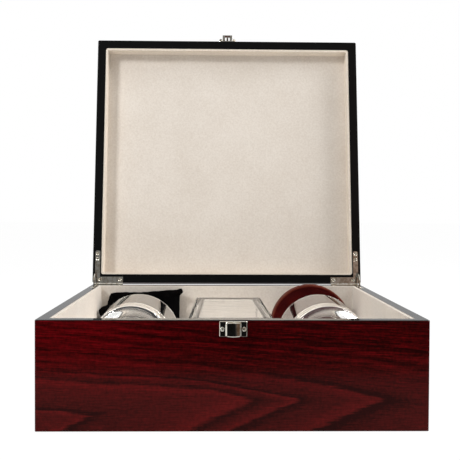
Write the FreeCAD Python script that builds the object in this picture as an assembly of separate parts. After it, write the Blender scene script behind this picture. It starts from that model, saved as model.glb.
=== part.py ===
# A veneered presentation box for a spirits set, lying open: a shallow case with a hinged lid on two
# quadrant hinges, a snap catch, a suede-covered lining and insert, and in it a square decanter,
# two tumblers, a soft pouch and two coasters.
# Millimetres. X runs to the right, Y to the back, Z up. The origin is the centre of the underside.
# The lid is modelled shut and then turned open about the hinge axis.
import FreeCAD, Part
import math
import os

os.makedirs("parts", exist_ok=True)

# Case and lid
box_width = 350.0
box_depth = 328.0
case_height = 100.0
lid_height = 30.0
wall = 11.0
lid_top_thickness = 9.5
base_thickness = 3.5
felt_thickness = 1.0
felt_inset = 4.0
lid_gap = 0.3
lid_open_angle = 98.9
corner_radius = 2.0
rim_radius = 0.8
inner_corner_radius = 3.0

# Linings
lining = 2.5
lining_drop = 0.4
lining_corner_radius = 1.5

# Contents
seat_gap = 0.3
tumbler_length = 92.0
tumbler_wall = 2.6
tumbler_base = 17.0
tumbler_edge_radius = 4.0
tumbler_cavity_radius = 8.0
decanter_base_width = 77.0
decanter_shoulder_width = 86.0
decanter_body = 178.0
decanter_corner = 8.0
decanter_wall = 5.0
decanter_base_glass = 14.0
decanter_shoulder = 8.0
decanter_neck = 8.0
neck_radius = 14.0
neck_bore_radius = 10.0
neck_lip_radius = 17.0
neck_lip = 3.0
round_share = 0.96
stopper_plug = 12.0
stopper_plug_clearance = 0.1
stopper_width = 38.0
stopper_head = 18.0
stopper_chamfer = 4.0
stopper_room = 14.5
coaster_margin = 3.0
coaster_thickness = 8.2
coaster_edge = 2.0
pouch_margin = 4.0
pouch_height = 84.0
pouch_thickness = 27.0
pouch_top_thickness = 9.0
pouch_lean = 2.5
pouch_corner = 4.0

# Insert
insert_drop = 2.3
channel_clearance = 1.5
divider = 12.0
side_margin = 13.0
cradle_skin = 1.5
front_block = 99.7
tumbler_clearance = 0.5
tumbler_end_clearance = 2.0
decanter_end_clearance = 2.0
coaster_slot_clearance = 0.8
rear_margin = 27.0
pouch_pocket = 33.0
wedge_length = 90.0

# Quadrant hinges
pivot_behind = 2.2
leaf_thickness = 1.2
leaf_inset = 3.2
side_leg_width = 6.4
side_leg_length = 42.0
back_leg_width = 7.8
back_leg_length = 36.4
leaf_end_radius = 2.4
leaf_screw_end = 4.0
leaf_screw_pitch = 7.0
leaf_corner_screw = 7.0
barrel_radius = 1.9
hinge_pin_radius = 0.9
hinge_pin_clearance = 0.05
knuckles = 5
knuckle_gap = 0.3
stay_inner_radius = 11.0
stay_outer_radius = 16.0
stay_thickness = 1.2
stay_inset = 0.4
stay_clearance = 0.25
stay_head_angle = 8.0
mortise_cover = 2.8

# Wood screws
screw_head_radius = 1.9
screw_head_depth = 1.0
screw_shank_radius = 0.9
screw_length = 7.0
screw_hole_clearance = 0.05
screw_slot_width = 0.5
screw_slot_depth = 0.5
screw_slot_share = 0.6
catch_screw_length = 6.0

# Snap catch, on the case front
catch_width = 25.0
catch_height = 14.2
catch_top_drop = 0.9
catch_plate = 1.0
catch_corner_radius = 1.0
catch_screw_spacing = 19.2
lever_width = 14.0
lever_height = 12.0
lever_depth = 8.0
lever_wall = 1.0
lever_back_gap = 1.3
lever_pivot_rise = 1.6
lever_pivot_depth = 3.0
lever_rise = 0.5
ear_shoulder = 0.4
catch_pin_radius = 0.8
catch_pin_clearance = 0.05
ear_thickness = 1.0
ear_gap = 0.4
nib_width = 3.0
nib_thickness = 1.2
nib_height = 2.6
nib_hook = 1.1
nib_hook_height = 0.9
spring_width = 4.0
spring_thickness = 0.3
spring_reach = 3.2
spring_height = 5.5

# Keeper, on the lid front
keeper_width = 22.0
keeper_height = 8.0
keeper_rise = 0.8
keeper_plate = 1.0
bridge_width = 12.8
bridge_depth = 8.8
bridge_height = 6.0
bridge_wall = 1.0
bridge_leg = 2.0
web_width = 1.2
tongue_width = 2.4
tongue_thickness = 1.0
tongue_drop = 2.2
tongue_depth = 4.0
tongue_lip = 1.2
tongue_lip_height = 0.7
keeper_screw_spacing = 18.0

# One overrun lets every cutting tool pass the face that it opens, and one reach tells which edges
# lie at the same place when they are picked for rounding.
over = 1.0
near = 0.2

# Places that follow from the sizes
half_w = box_width / 2
half_d = box_depth / 2
inner_w = half_w - wall - lining
inner_d = half_d - wall - lining
base_top = felt_thickness + base_thickness
floor_top = base_top + lining
lid_bottom = case_height + lid_gap
lid_top = lid_bottom + lid_height
pivot_y = half_d + pivot_behind
pivot_z = case_height + lid_gap / 2
front_y = -half_d

# The tumblers fill the room on each side of the decanter's channel, and what lies behind them
# follows their width.
shoulder_half = decanter_shoulder_width / 2
channel_half = shoulder_half + channel_clearance
tumbler_radius = (inner_w - side_margin - channel_half - divider) / 2
tumbler_x = inner_w - side_margin - tumbler_radius
coaster_radius = tumbler_radius + coaster_margin
pouch_width = tumbler_radius * 2 - pouch_margin

X = FreeCAD.Vector(1, 0, 0)
Y = FreeCAD.Vector(0, 1, 0)
Z = FreeCAD.Vector(0, 0, 1)
origin = FreeCAD.Vector(0, 0, 0)
pivot = FreeCAD.Vector(0, pivot_y, pivot_z)
mitre_reach = wall + lining + inner_corner_radius


def block(x0, x1, y0, y1, z0, z1):
    return Part.makeBox(x1 - x0, y1 - y0, z1 - z0, FreeCAD.Vector(x0, y0, z0))


def rod(radius, start, end):
    start = FreeCAD.Vector(*start)
    way = FreeCAD.Vector(*end) - start
    return Part.makeCylinder(radius, way.Length, start, way)


def fuse(*shapes):
    body = shapes[0]
    for other in shapes[1:]:
        body = body.fuse(other)
    return body.removeSplitter()


def cut_all(shape, tools):
    for tool in tools:
        shape = shape.cut(tool)
    return shape


def mirrored(shape):
    return shape.mirror(origin, X)


def edges_where(shape, test):
    return [edge for edge in shape.Edges if test(edge)]


def upright(edge):
    return edge.BoundBox.XLength < near and edge.BoundBox.YLength < near


def along_y(edge):
    return edge.BoundBox.XLength < near and edge.BoundBox.ZLength < near


def rounded_block(x0, x1, y0, y1, z0, z1, radius):
    body = block(x0, x1, y0, y1, z0, z1)
    return body.makeFillet(radius, edges_where(body, upright))


def opened(shape):
    """A lid piece, turned from shut to its open stop."""
    turned = shape.copy()
    turned.rotate(pivot, X, -lid_open_angle)
    return turned


def save(name, shape):
    shape.exportStep("parts/" + name + ".step")


# Four mitred sides of a ring, cut from it by wedges that meet along the diagonals of its corners.
def mitred_sides(ring, half_width, half_depth):
    low = ring.BoundBox.ZMin - over
    tall = ring.BoundBox.ZLength + over + over
    far_w = half_width + over
    far_d = half_depth + over
    near_w = far_w - mitre_reach
    near_d = far_d - mitre_reach
    back = prism([(-far_w, far_d), (far_w, far_d), (near_w, near_d), (-near_w, near_d)], low, tall)
    right = prism([(far_w, -far_d), (far_w, far_d), (near_w, near_d), (near_w, -near_d)], low, tall)
    wedges = {"back": back, "front": back.mirror(origin, Y), "right": right, "left": mirrored(right)}
    return {name: ring.common(wedge) for name, wedge in wedges.items()}


def prism(points, low, tall):
    corners = [FreeCAD.Vector(x, y, low) for x, y in points]
    face = Part.Face(Part.makePolygon(corners + corners[:1]))
    return face.extrude(FreeCAD.Vector(0, 0, tall))


# Hinge leaf outline, right-hand side: an L with a round end on its side leg.
leaf_right = half_w - leaf_inset
leaf_front = half_d - side_leg_length
back_leg_left = leaf_right - back_leg_length


def leaf_blank(z0, z1):
    side = block(leaf_right - side_leg_width, leaf_right, leaf_front, half_d, z0, z1)
    ends = edges_where(side, lambda e: upright(e) and e.BoundBox.YMin < half_d - side_leg_length / 2)
    side = side.makeFillet(leaf_end_radius, ends)
    back = block(back_leg_left, leaf_right, half_d - back_leg_width, half_d, z0, z1)
    return fuse(side, back)


stay_right = leaf_right - stay_inset
stay_left = stay_right - stay_thickness
slot_front = pivot_y - stay_outer_radius - stay_clearance * 2
slot_back = pivot_y - stay_inner_radius + stay_clearance * 2
pocket_depth = stay_outer_radius - lid_gap


def stay_pocket(z0, z1):
    return block(stay_left - stay_clearance, stay_right + stay_clearance,
                 slot_front, half_d - mortise_cover, z0, z1)


def leaf_slot(z0, z1):
    return block(stay_left - stay_clearance, stay_right + stay_clearance, slot_front, slot_back, z0, z1)


# Screw places on a leaf, right-hand side
side_screw_x = leaf_right - side_leg_width / 2
back_screw_y = half_d - back_leg_width / 2
lid_screws_at = [
    (side_screw_x, leaf_front + leaf_screw_end),
    (side_screw_x, leaf_front + leaf_screw_end + leaf_screw_pitch),
    (back_leg_left + leaf_screw_end, back_screw_y),
    (leaf_right - leaf_corner_screw, back_screw_y),
]
case_screws_at = [lid_screws_at[0], lid_screws_at[1], lid_screws_at[2]]


def wood_screw(length):
    """Head up, its top at the origin."""
    head = Part.makeCone(screw_shank_radius, screw_head_radius, screw_head_depth,
                         FreeCAD.Vector(0, 0, -screw_head_depth))
    shank = rod(screw_shank_radius, (0, 0, -length), (0, 0, -screw_head_depth / 2))
    body = head.fuse(shank)
    reach = screw_head_radius * screw_slot_share
    for long_x, long_y in ((reach, screw_slot_width / 2), (screw_slot_width / 2, reach)):
        body = body.cut(block(-long_x, long_x, -long_y, long_y, -screw_slot_depth, over))
    return body


def screw_hole(length):
    hole = rod(screw_shank_radius + screw_hole_clearance, (0, 0, -length - screw_hole_clearance), (0, 0, over))
    sink = Part.makeCone(screw_shank_radius + screw_hole_clearance, screw_head_radius + screw_hole_clearance,
                         screw_head_depth, FreeCAD.Vector(0, 0, -screw_head_depth))
    return hole.fuse(sink)


def placed(shape, x, y, z, axis=None, angle=0):
    moved = shape.copy()
    if axis is not None:
        moved.rotate(origin, axis, angle)
    moved.translate(FreeCAD.Vector(x, y, z))
    return moved


def both_sides(shapes):
    return shapes + [mirrored(shape) for shape in shapes]


case_screws = both_sides([placed(wood_screw(screw_length), x, y, case_height) for x, y in case_screws_at])
case_holes = both_sides([placed(screw_hole(screw_length), x, y, case_height) for x, y in case_screws_at])
lid_screws = both_sides([placed(wood_screw(screw_length), x, y, lid_bottom, X, 180) for x, y in lid_screws_at])
lid_holes = both_sides([placed(screw_hole(screw_length), x, y, lid_bottom, X, 180) for x, y in lid_screws_at])

# Catch and keeper screws lie along Y, heads to the front.
catch_top = case_height - catch_top_drop
catch_mid = catch_top - catch_height / 2
catch_screws_at = [(side * catch_screw_spacing / 2, catch_mid) for side in (-1, 1)]
keeper_bottom = lid_bottom + keeper_rise
keeper_mid = keeper_bottom + keeper_height / 2
keeper_screws_at = [(side * keeper_screw_spacing / 2, keeper_mid) for side in (-1, 1)]
catch_face = front_y - catch_plate
keeper_face = front_y - keeper_plate


def facing_front(shape, x, y, z):
    return placed(shape, x, y, z, X, 90)


catch_screws = [facing_front(wood_screw(catch_screw_length), x, catch_face, z) for x, z in catch_screws_at]
catch_holes = [facing_front(screw_hole(catch_screw_length), x, catch_face, z) for x, z in catch_screws_at]
keeper_screws = [facing_front(wood_screw(catch_screw_length), x, keeper_face, z) for x, z in keeper_screws_at]
keeper_holes = [facing_front(screw_hole(catch_screw_length), x, keeper_face, z) for x, z in keeper_screws_at]


def ring_between(z0, z1, rim_z):
    """Outer walls with rounded corners and an eased outer edge at the rim."""
    body = rounded_block(-half_w, half_w, front_y, half_d, z0, z1, corner_radius)
    rim = edges_where(body, lambda e: abs(e.BoundBox.ZMin - rim_z) + abs(e.BoundBox.ZMax - rim_z) < near)
    body = body.makeFillet(rim_radius, rim)
    hollow = rounded_block(wall - half_w, half_w - wall, wall - half_d, half_d - wall,
                           z0 - over, z1 + over, inner_corner_radius)
    return body.cut(hollow)


# Case walls
case_ring = ring_between(felt_thickness, case_height, case_height)
case_mortises = both_sides([leaf_blank(case_height - leaf_thickness, case_height + over),
                            stay_pocket(case_height - pocket_depth, case_height + over)])
case_ring = cut_all(case_ring, case_mortises + case_holes + catch_holes)
for side, shape in mitred_sides(case_ring, half_w, half_d).items():
    save("case_" + side, shape)
save("case_base", rounded_block(wall - half_w, half_w - wall, wall - half_d, half_d - wall,
                                felt_thickness, base_top, inner_corner_radius))
save("base_felt", block(felt_inset - half_w, half_w - felt_inset, felt_inset - half_d,
                        half_d - felt_inset, 0, felt_thickness))


def lining_ring(z0, z1):
    body = rounded_block(wall - half_w, half_w - wall, wall - half_d, half_d - wall, z0, z1,
                         inner_corner_radius)
    hollow = rounded_block(-inner_w, inner_w, -inner_d, inner_d, z0 - over, z1 + over, lining_corner_radius)
    return body.cut(hollow)


save("lining_floor", rounded_block(wall - half_w, half_w - wall, wall - half_d, half_d - wall,
                                   base_top, floor_top, inner_corner_radius))
case_lining = lining_ring(floor_top, case_height - lining_drop)
for side, shape in mitred_sides(case_lining, half_w - wall, half_d - wall).items():
    save("lining_" + side, shape)

# Lid walls, top and lining
lid_panel_top = lid_top - lid_top_thickness
lid_ring = ring_between(lid_bottom, lid_panel_top, lid_bottom)
lid_mortises = both_sides([leaf_blank(lid_bottom - over, lid_bottom + leaf_thickness),
                           stay_pocket(lid_bottom - over, lid_bottom + pocket_depth)])
lid_ring = cut_all(lid_ring, lid_mortises + lid_holes + keeper_holes)
for side, shape in mitred_sides(lid_ring, half_w, half_d).items():
    save("lid_" + side, opened(shape))
lid_board = rounded_block(-half_w, half_w, front_y, half_d, lid_panel_top, lid_top, corner_radius)
top_edges = edges_where(lid_board, lambda e: e.BoundBox.ZMin > lid_top - near)
save("lid_top", opened(lid_board.makeFillet(rim_radius, top_edges)))
save("lid_panel", opened(rounded_block(wall - half_w, half_w - wall, wall - half_d, half_d - wall,
                                       lid_panel_top - lining, lid_panel_top, inner_corner_radius)))
lid_lining = lining_ring(lid_bottom + lining_drop, lid_panel_top - lining)
for side, shape in mitred_sides(lid_lining, half_w - wall, half_d - wall).items():
    save("lid_lining_" + side, opened(shape))

# Hinge leaves: odd knuckles belong to the case, even ones to the lid.
knuckle_pitch = back_leg_length / knuckles
case_leaf_z = case_height - leaf_thickness
lid_leaf_z = lid_bottom + leaf_thickness


def knuckle_row(first, z0, z1):
    pieces = []
    for index in range(first, knuckles, 2):
        x0 = back_leg_left + index * knuckle_pitch + knuckle_gap / 2
        x1 = x0 + knuckle_pitch - knuckle_gap
        barrel = rod(barrel_radius, (x0, pivot_y, pivot_z), (x1, pivot_y, pivot_z))
        tab = block(x0, x1, half_d - leaf_thickness, pivot_y, z0, z1)
        pieces.append(fuse(barrel, tab))
    return pieces


pin_hole = rod(hinge_pin_radius + hinge_pin_clearance, (back_leg_left - over, pivot_y, pivot_z),
               (leaf_right + over, pivot_y, pivot_z))


def hinge_leaf(first, z0, z1, holes):
    body = fuse(leaf_blank(z0, z1), *knuckle_row(first, z0, z1))
    return cut_all(body, [pin_hole, leaf_slot(z0 - over, z1 + over)] + holes)


case_leaf = hinge_leaf(0, case_leaf_z, case_height, case_holes)
lid_leaf = hinge_leaf(1, lid_bottom, lid_leaf_z, lid_holes)
hinge_pin = rod(hinge_pin_radius, (back_leg_left, pivot_y, pivot_z), (leaf_right, pivot_y, pivot_z))

# Stay: an arc about the hinge axis, half of it in the case and half in the lid when shut.
stay_span = lid_open_angle + stay_head_angle * 2


def stay_arc():
    disc = Part.makeCylinder(stay_outer_radius, stay_thickness, FreeCAD.Vector(stay_left, pivot_y, pivot_z),
                             X, stay_span)
    core = rod(stay_inner_radius, (stay_left - over, pivot_y, pivot_z), (stay_right + over, pivot_y, pivot_z))
    return disc.cut(core).Solids[0]


stay = stay_arc()
stay_mid = stay.CenterOfMass - pivot
stay_turn = math.degrees(math.atan2(stay_mid.z, stay_mid.y))
stay.rotate(pivot, X, 180 - lid_open_angle / 2 - stay_turn)
for side, flip in (("right", False), ("left", True)):
    hand = mirrored if flip else (lambda shape: shape)
    save("hinge_case_leaf_" + side, hand(case_leaf))
    save("hinge_lid_leaf_" + side, opened(hand(lid_leaf)))
    save("hinge_pin_" + side, hand(hinge_pin))
    save("hinge_stay_" + side, hand(stay))
save("hinge_case_screws", Part.makeCompound(case_screws))
save("hinge_lid_screws", opened(Part.makeCompound(lid_screws)))

# Catch: a plate with two ears, a hollow lever on a pin between them, and a leaf spring behind it.
lever_front = front_y - lever_depth
lever_bottom = catch_top - catch_height + lever_rise
ear_radius = lever_pivot_rise - ear_shoulder
lever_top = lever_bottom + lever_height
lever_back = catch_face - lever_back_gap
lever_pivot_y = front_y - lever_pivot_depth
lever_pivot_z = lever_bottom + lever_pivot_rise
lever_inside = lever_width / 2 - lever_wall
ear_outer = lever_inside - ear_gap
plate = block(-catch_width / 2, catch_width / 2, catch_face, front_y, catch_top - catch_height, catch_top)
plate = plate.makeFillet(catch_corner_radius, edges_where(plate, along_y))
ears = []
for side in (-1, 1):
    inner_x = side * (ear_outer - ear_thickness)
    outer_x = side * ear_outer
    low_x, high_x = min(inner_x, outer_x), max(inner_x, outer_x)
    round_end = rod(ear_radius, (low_x, lever_pivot_y, lever_pivot_z), (high_x, lever_pivot_y, lever_pivot_z))
    web = block(low_x, high_x, lever_pivot_y, catch_face, lever_pivot_z - ear_radius, lever_pivot_z + ear_radius)
    ears.append(fuse(round_end, web))
catch_pin = rod(catch_pin_radius, (-lever_width / 2, lever_pivot_y, lever_pivot_z),
                (lever_width / 2, lever_pivot_y, lever_pivot_z))
save("catch_plate", cut_all(fuse(plate, *ears), catch_holes + [catch_pin]))
save("catch_pin", catch_pin)
save("catch_screws", Part.makeCompound(catch_screws))

lever_shell = block(-lever_width / 2, lever_width / 2, lever_front, lever_back, lever_bottom, lever_top)
lever_shell = lever_shell.makeFillet(lever_wall / 2, edges_where(
    lever_shell, lambda e: e.BoundBox.YMax < lever_front + lever_wall / 2))
lever_room = block(-lever_inside, lever_inside, lever_front + lever_wall, lever_back + over,
                   lever_bottom - over, lever_top - lever_wall)
nib = block(-nib_width / 2, nib_width / 2, lever_front, lever_front + nib_thickness,
            lever_top - lever_wall, lever_top + nib_height)
hook = block(-nib_width / 2, nib_width / 2, lever_front, lever_front + nib_thickness + nib_hook,
             lever_top + nib_height - nib_hook_height, lever_top + nib_height)
pin_bore = rod(catch_pin_radius + catch_pin_clearance, (-lever_width, lever_pivot_y, lever_pivot_z),
               (lever_width, lever_pivot_y, lever_pivot_z))
save("catch_lever", cut_all(fuse(lever_shell.cut(lever_room), nib, hook), [pin_bore]))

spring_low = lever_pivot_z + lever_pivot_rise
spring_points = [
    (catch_face, spring_low),
    (catch_face - spring_thickness, spring_low),
    (catch_face - spring_reach, spring_low + spring_height),
    (catch_face - spring_reach + spring_thickness, spring_low + spring_height),
]
spring_corners = [FreeCAD.Vector(-spring_width / 2, y, z) for y, z in spring_points]
spring_face = Part.Face(Part.makePolygon(spring_corners + spring_corners[:1]))
save("catch_spring", spring_face.extrude(FreeCAD.Vector(spring_width, 0, 0)))

# Keeper: a plate with a bridge that stands off the lid and a tongue whose lip the nib hooks over.
keeper_top = keeper_bottom + keeper_height
bridge_front = front_y - bridge_depth
bridge_top = keeper_bottom + bridge_height
keeper_blank = block(-keeper_width / 2, keeper_width / 2, keeper_face, front_y, keeper_bottom, keeper_top)
keeper_blank = keeper_blank.makeFillet(catch_corner_radius, edges_where(keeper_blank, along_y))
bar = block(-bridge_width / 2, bridge_width / 2, bridge_front, bridge_front + bridge_wall,
            keeper_bottom, bridge_top)
legs = [block(x, x + bridge_leg, bridge_front + bridge_wall / 2, front_y - keeper_plate / 2,
              keeper_bottom, bridge_top) for x in (-bridge_width / 2, bridge_width / 2 - bridge_leg)]
web = block(-web_width / 2, web_width / 2, bridge_front + bridge_wall / 2, front_y - keeper_plate / 2,
            keeper_bottom + tongue_lip_height, bridge_top)
tongue_bottom = lid_bottom - tongue_drop
tongue = block(-tongue_width / 2, tongue_width / 2, front_y - tongue_depth,
               front_y - tongue_depth + tongue_thickness, tongue_bottom, bridge_top - bridge_wall)
lip = block(-tongue_width / 2, tongue_width / 2, front_y - tongue_depth - tongue_lip,
            front_y - tongue_depth + tongue_thickness, tongue_bottom, tongue_bottom + tongue_lip_height)
keeper = cut_all(fuse(keeper_blank, bar, *legs, web, tongue, lip), keeper_holes)
save("keeper", opened(keeper))
save("keeper_screws", opened(Part.makeCompound(keeper_screws)))

# Decanter, standing on its base along +Z, then laid down with its upper side level.
base_half = decanter_base_width / 2
lie_angle = math.degrees(math.atan((shoulder_half - base_half) / decanter_body))


def rounded_square(half, radius, z):
    body = block(-half, half, -half, half, z, z + over)
    body = body.makeFillet(radius, edges_where(body, lambda e: e.BoundBox.ZLength > over / 2))
    for face in body.Faces:
        if face.BoundBox.ZMax < z + over / 2:
            return face.OuterWire


def frustum(half0, radius0, z0, half1, radius1, z1):
    wires = [rounded_square(half0, radius0, z0), rounded_square(half1, radius1, z1)]
    return Part.makeLoft(wires, True, True)


shoulder_z = decanter_body
neck_z = shoulder_z + decanter_shoulder
mouth_z = neck_z + decanter_neck
glass_inner_base = base_half - decanter_wall
glass_inner_shoulder = shoulder_half - decanter_wall
glass_corner = decanter_corner - decanter_wall / 2
outer_glass = fuse(
    frustum(base_half, decanter_corner, 0, shoulder_half, decanter_corner, shoulder_z),
    frustum(shoulder_half, decanter_corner, shoulder_z, neck_radius, neck_radius * round_share, neck_z),
    rod(neck_radius, (0, 0, neck_z - over), (0, 0, mouth_z)),
    rod(neck_lip_radius, (0, 0, mouth_z - neck_lip), (0, 0, mouth_z)),
)
inner_glass = fuse(
    frustum(glass_inner_base, glass_corner, decanter_base_glass, glass_inner_shoulder, glass_corner,
            shoulder_z - decanter_wall / 2),
    frustum(glass_inner_shoulder, glass_corner, shoulder_z - decanter_wall / 2, neck_bore_radius,
            neck_bore_radius * round_share, neck_z),
    rod(neck_bore_radius, (0, 0, neck_z - decanter_wall / 2), (0, 0, mouth_z + over)),
)
decanter = outer_glass.cut(inner_glass)
head_z = mouth_z + seat_gap
stopper_half = stopper_width / 2
head = block(-stopper_half, stopper_half, -stopper_half, stopper_half, head_z, head_z + stopper_head)
head = head.makeChamfer(stopper_chamfer, edges_where(head, lambda e: e.BoundBox.ZMax > head_z + over))
plug = rod(neck_bore_radius - stopper_plug_clearance, (0, 0, mouth_z - stopper_plug), (0, 0, head_z + over))
stopper = fuse(head, plug)

# Its lowest edge is the lower side of the shoulder, its foremost point the stopper's lower front edge.
lean = math.radians(lie_angle)
decanter_axis_drop = shoulder_z * math.sin(lean) + shoulder_half * math.cos(lean)
decanter_origin_z = floor_top + seat_gap + decanter_axis_drop
stopper_reach = (head_z + stopper_head) * math.cos(lean) + stopper_half * math.sin(lean)
decanter_origin_y = stopper_room - inner_d + stopper_reach


def laid_down(shape):
    return placed(shape, 0, decanter_origin_y, decanter_origin_z, X, 90 + lie_angle)


save("decanter", laid_down(decanter))
save("decanter_stopper", laid_down(stopper))
decanter_back = decanter_origin_y + base_half * math.sin(lean)

# Tumblers, lying with the thick base to the front.
tumbler_z = floor_top + cradle_skin + seat_gap + tumbler_radius
insert_top = tumbler_z - insert_drop
coaster_y = inner_d - rear_margin
coaster_slot_front = coaster_y - coaster_thickness * 2 - seat_gap - coaster_slot_clearance * 2
trough_front = front_block - inner_d
tumbler_front = trough_front + tumbler_end_clearance
tumbler_back = tumbler_front + tumbler_length


def ring_edges(shape, radius, z):
    return [edge for edge in shape.Edges if abs(edge.BoundBox.ZMin - z) < near
            and abs(edge.BoundBox.ZMax - z) < near and abs(edge.BoundBox.XMax - radius) < near]


outer_tumbler = rod(tumbler_radius, (0, 0, 0), (0, 0, tumbler_length))
outer_tumbler = outer_tumbler.makeFillet(tumbler_edge_radius, ring_edges(outer_tumbler, tumbler_radius, 0))
cavity_radius = tumbler_radius - tumbler_wall
tumbler_room = rod(cavity_radius, (0, 0, tumbler_base), (0, 0, tumbler_length + over))
tumbler_room = tumbler_room.makeFillet(tumbler_cavity_radius, ring_edges(tumbler_room, cavity_radius, tumbler_base))
tumbler = placed(outer_tumbler.cut(tumbler_room), tumbler_x, tumbler_front, tumbler_z, X, -90)
save("tumbler_right", tumbler)
save("tumbler_left", mirrored(tumbler))

# Coasters, standing on edge behind the right tumbler.
coaster_z = floor_top + seat_gap + coaster_radius
for index, name in enumerate(("coaster_rear", "coaster_front")):
    back = coaster_y - index * (coaster_thickness + seat_gap)
    disc = rod(coaster_radius, (tumbler_x, back, coaster_z), (tumbler_x, back - coaster_thickness, coaster_z))
    rims = edges_where(disc, lambda e: e.BoundBox.YLength < coaster_edge)
    save(name, disc.makeFillet(coaster_edge, rims))

# Pouch, upright in the pocket behind the left tumbler, thick at its foot and thin at its mouth.
pouch_bottom = floor_top + seat_gap
pouch_back = inner_d - seat_gap - pouch_lean
pouch_mouth_back = pouch_back - pouch_lean
pouch_profile = [
    (pouch_back - pouch_thickness, pouch_bottom),
    (pouch_back, pouch_bottom),
    (pouch_mouth_back, pouch_bottom + pouch_height),
    (pouch_mouth_back - pouch_top_thickness, pouch_bottom + pouch_height),
]
pouch_left = -tumbler_x - pouch_width / 2
pouch_corners = [FreeCAD.Vector(pouch_left, y, z) for y, z in pouch_profile]
pouch_face = Part.Face(Part.makePolygon(pouch_corners + pouch_corners[:1]))
pouch_bag = pouch_face.extrude(FreeCAD.Vector(pouch_width, 0, 0))
pouch_bag = pouch_bag.makeFillet(pouch_corner, pouch_bag.Edges)
save("pouch", pouch_bag)

# Insert blocks, covered like the lining, all of one height, with the pockets between them.
trough_back = tumbler_back + tumbler_end_clearance
pouch_front = inner_d - pouch_pocket
middle_front = decanter_back + decanter_end_clearance


lined_room = rounded_block(-inner_w, inner_w, -inner_d, inner_d, floor_top, insert_top, lining_corner_radius)


def right_block(y0, y1):
    return block(channel_half, inner_w, y0, y1, floor_top, insert_top).common(lined_room)


trough = rod(tumbler_radius + tumbler_clearance, (tumbler_x, trough_front - over, tumbler_z),
             (tumbler_x, trough_back + over, tumbler_z))
cradle = right_block(trough_front, trough_back).cut(trough)
pieces = {
    "insert_front_right": right_block(-inner_d, trough_front),
    "insert_front_left": mirrored(right_block(-inner_d, trough_front)),
    "insert_cradle_right": cradle,
    "insert_cradle_left": mirrored(cradle),
    "insert_middle_right": right_block(trough_back, coaster_slot_front),
    "insert_middle_left": mirrored(right_block(trough_back, pouch_front)),
    "insert_rear_right": right_block(coaster_y + coaster_slot_clearance, inner_d),
    "insert_rear_middle": block(-channel_half, channel_half, middle_front, inner_d, floor_top, insert_top),
}
for name, shape in pieces.items():
    save(name, shape)

# A wedge under the base end of the decanter
wedge_slope = math.tan(lean * 2)
heel_z = decanter_origin_z - base_half * math.cos(lean) - seat_gap / math.cos(lean)
heel_y = decanter_origin_y - base_half * math.sin(lean)
wedge_front_z = heel_z - (heel_y - decanter_back + wedge_length) * wedge_slope
wedge_back_z = heel_z + (decanter_back - heel_y) * wedge_slope
wedge_points = [
    (decanter_back - wedge_length, floor_top),
    (decanter_back, floor_top),
    (decanter_back, wedge_back_z),
    (decanter_back - wedge_length, wedge_front_z),
]
wedge_corners = [FreeCAD.Vector(-channel_half, y, z) for y, z in wedge_points]
wedge_face = Part.Face(Part.makePolygon(wedge_corners + wedge_corners[:1]))
save("insert_wedge", wedge_face.extrude(FreeCAD.Vector(channel_half * 2, 0, 0)))
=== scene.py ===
import math

import bmesh
import bpy
from mathutils import Matrix, Vector


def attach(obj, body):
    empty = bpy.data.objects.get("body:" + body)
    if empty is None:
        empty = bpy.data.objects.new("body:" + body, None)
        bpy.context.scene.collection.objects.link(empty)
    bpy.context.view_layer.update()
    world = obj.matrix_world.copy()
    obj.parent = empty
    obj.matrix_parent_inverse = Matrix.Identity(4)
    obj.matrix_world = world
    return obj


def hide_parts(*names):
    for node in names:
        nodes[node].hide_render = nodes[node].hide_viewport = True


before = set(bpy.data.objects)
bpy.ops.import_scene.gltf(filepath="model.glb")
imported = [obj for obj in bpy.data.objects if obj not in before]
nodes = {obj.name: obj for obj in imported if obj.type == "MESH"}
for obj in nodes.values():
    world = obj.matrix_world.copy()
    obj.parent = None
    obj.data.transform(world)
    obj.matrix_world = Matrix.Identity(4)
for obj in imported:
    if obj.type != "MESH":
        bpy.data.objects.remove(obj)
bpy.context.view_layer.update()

MM = 0.001
HINGE_AXIS = Vector((0.0, 166.2, 100.15)) * MM
LID_ANGLE = math.radians(98.9)
CASE_FRONT = -164.0
CATCH_PIN_Z = 87.0
INSERT_TOP = 52.5
TUMBLER_X, TUMBLER_FRONT, TUMBLER_Z = 102.5, -48.8, 54.8
DECANTER_FOOT = Vector((0.0, 76.7, 54.8)) * MM
DECANTER_BODY = 0.178
FOOT_HALF, SHOULDER_HALF = 0.0385, 0.043
DECANTER_LEAN = math.atan((SHOULDER_HALF - FOOT_HALF) / DECANTER_BODY)

WHITE = (1.0, 1.0, 1.0, 1.0)
BLACK_LACQUER = (0.003, 0.003, 0.003, 1.0)
GLUED_CLOTH = (0.62, 0.56, 0.49, 1.0)
DARK_PORE = (0.010, 0.001, 0.0015, 1.0)
CLEAR = (0.985, 0.992, 0.988)
# Painted shade: dark tint for the decanter's corner glass
CORNER_PAINTED_SHADE = (0.130, 0.142, 0.142)


# Camera, solved from the corners of the box in the photograph

def aim_camera():
    data = bpy.data.cameras.new("camera")
    data.lens = 61.53
    data.sensor_width = 36.0
    data.clip_start = 0.01
    data.clip_end = 60.0
    camera = bpy.data.objects.new("camera", data)
    bpy.context.scene.collection.objects.link(camera)
    yaw, pitch, roll = (math.radians(a) for a in (-1.183, -1.413, -0.252))
    turn = Matrix.Rotation(yaw, 4, "Z") @ Matrix.Rotation(pitch, 4, "X")
    turn = turn @ Matrix.Rotation(roll, 4, "Y")
    place = Matrix.Translation(Vector((-17.556, -855.94, 196.61)) * MM)
    camera.matrix_world = place @ turn @ Matrix.Rotation(math.radians(90), 4, "X")
    bpy.context.scene.camera = camera


# Node tree helpers

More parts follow.
